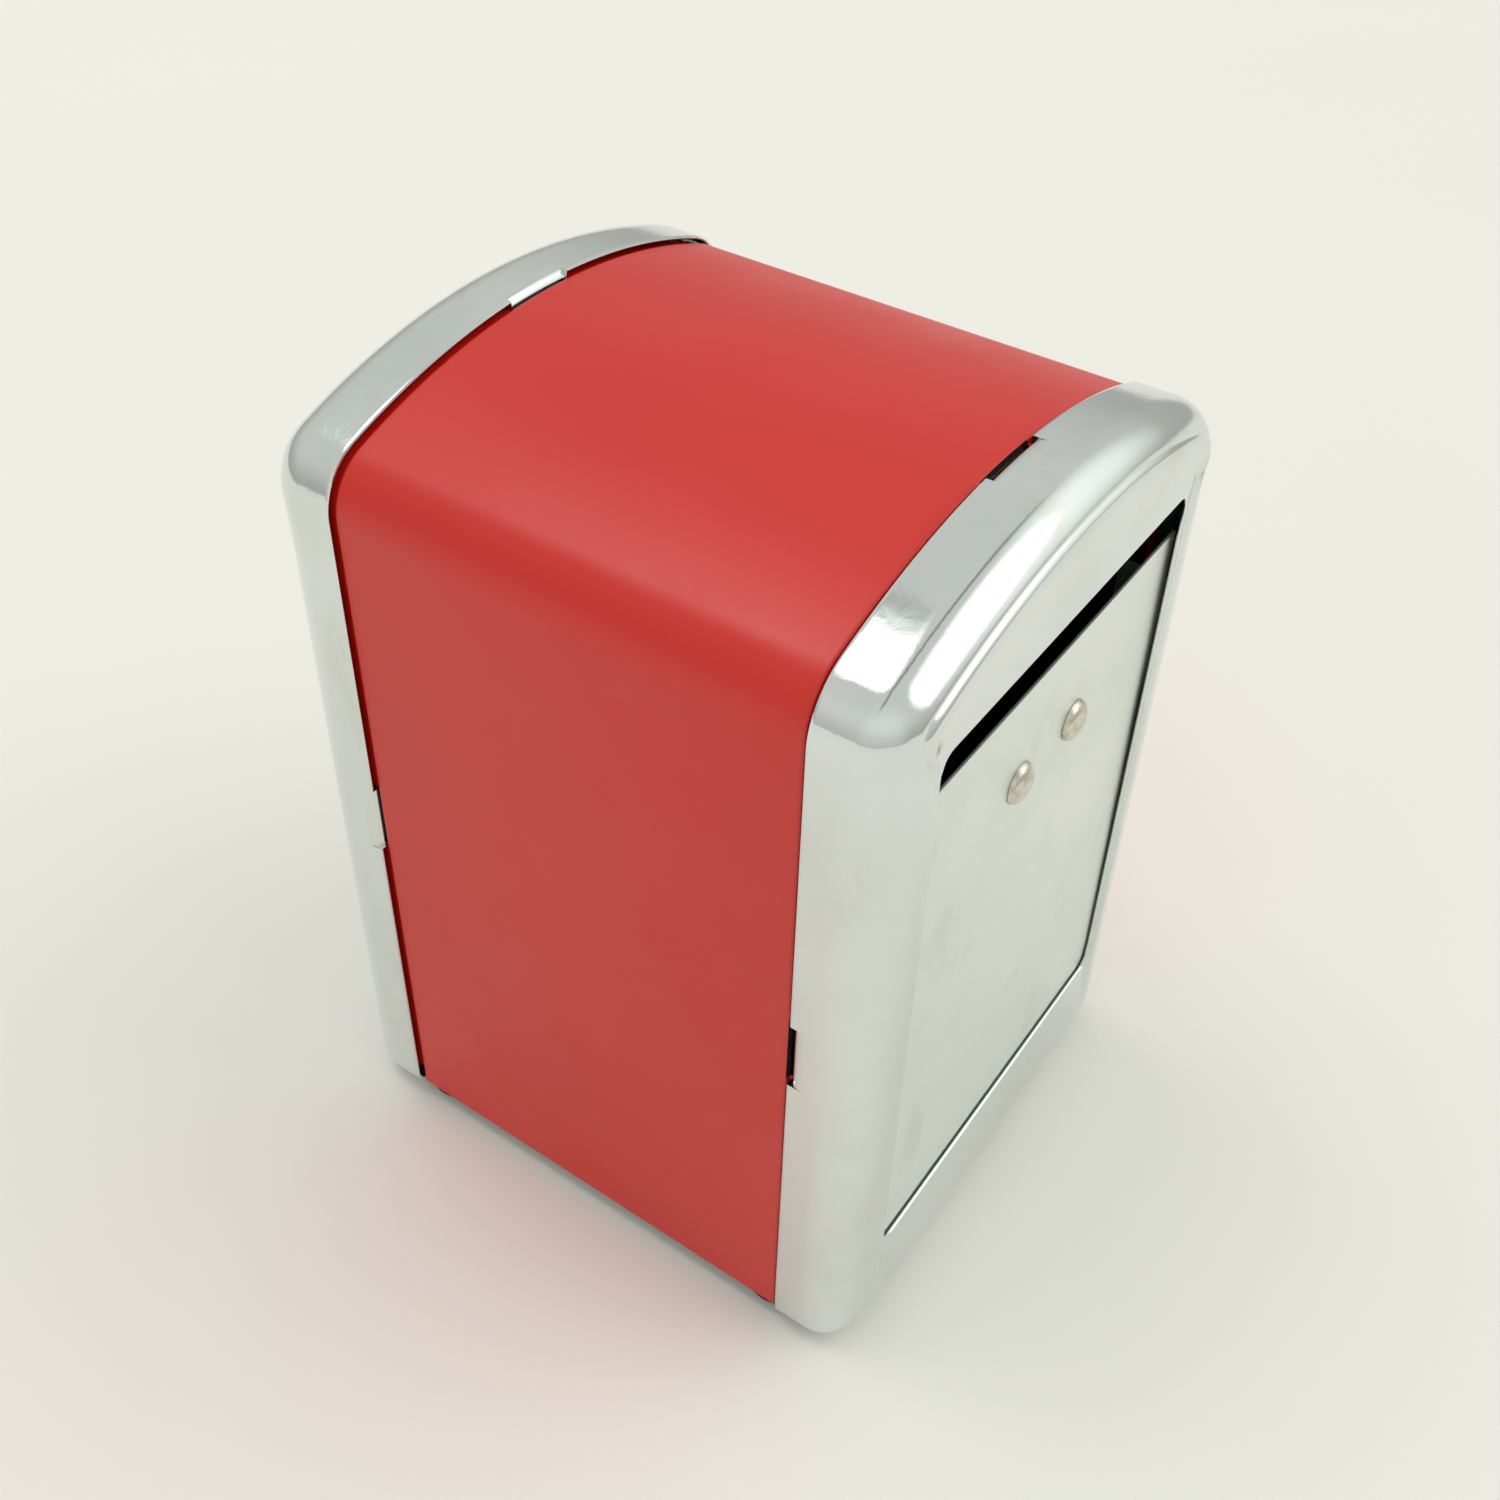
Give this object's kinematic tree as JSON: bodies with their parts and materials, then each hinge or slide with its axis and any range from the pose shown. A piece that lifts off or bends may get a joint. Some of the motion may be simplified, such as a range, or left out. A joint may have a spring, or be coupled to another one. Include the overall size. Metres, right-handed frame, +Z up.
{
  "type": "napkin dispenser",
  "caption": "Two-sided tabletop napkin dispenser: painted arched steel shell, chromed windowed end caps and sprung follower plates on leaf springs.",
  "frame": {"origin": "on the table, under the middle of the body", "axes": "+Z up, +Y from the front window to the back window, +X across the windows to the right as seen from the front"},
  "size_m": [0.0886, 0.1022, 0.1393],
  "materials": {
    "red_paint": "satin",
    "chrome": "polished",
    "galvanised": "satin",
    "nickel": "satin",
    "spring_steel": "satin",
    "rubber": "matte"
  },
  "bodies": {
    "housing": {"body_shell": "red_paint", "base_plate": "galvanised", "front_spring": "spring_steel", "back_spring": "spring_steel", "spring_rivets": "nickel", "front_left_foot": "rubber", "front_right_foot": "rubber", "back_left_foot": "rubber", "back_right_foot": "rubber"},
    "front_cap_body": {"front_cap": "chrome"},
    "back_cap_body": {"back_cap": "chrome"},
    "front_follower_body": {"front_follower": "galvanised", "front_follower_rivets": "nickel"},
    "back_follower_body": {"back_follower": "galvanised", "back_follower_rivets": "nickel"}
  },
  "joints": [
    {"name": "front_follower_slide", "type": "slide", "parent": "housing", "child": "front_follower_body", "axis": [0, 1, 0], "range_m": [0, 0.03], "stiffness_N_per_m": 60, "springref_m": -0.02, "deforming": ["front_spring"]},
    {"name": "back_follower_slide", "type": "slide", "parent": "housing", "child": "back_follower_body", "axis": [0, -1, 0], "range_m": [0, 0.03], "stiffness_N_per_m": 60, "springref_m": -0.02, "deforming": ["back_spring"]},
    {"name": "front_cap_pull", "type": "slide", "parent": "housing", "child": "front_cap_body", "axis": [0, -1, 0], "range_m": [0, 0.04]},
    {"name": "back_cap_pull", "type": "slide", "parent": "housing", "child": "back_cap_body", "axis": [0, 1, 0], "range_m": [0, 0.04]}
  ]
}
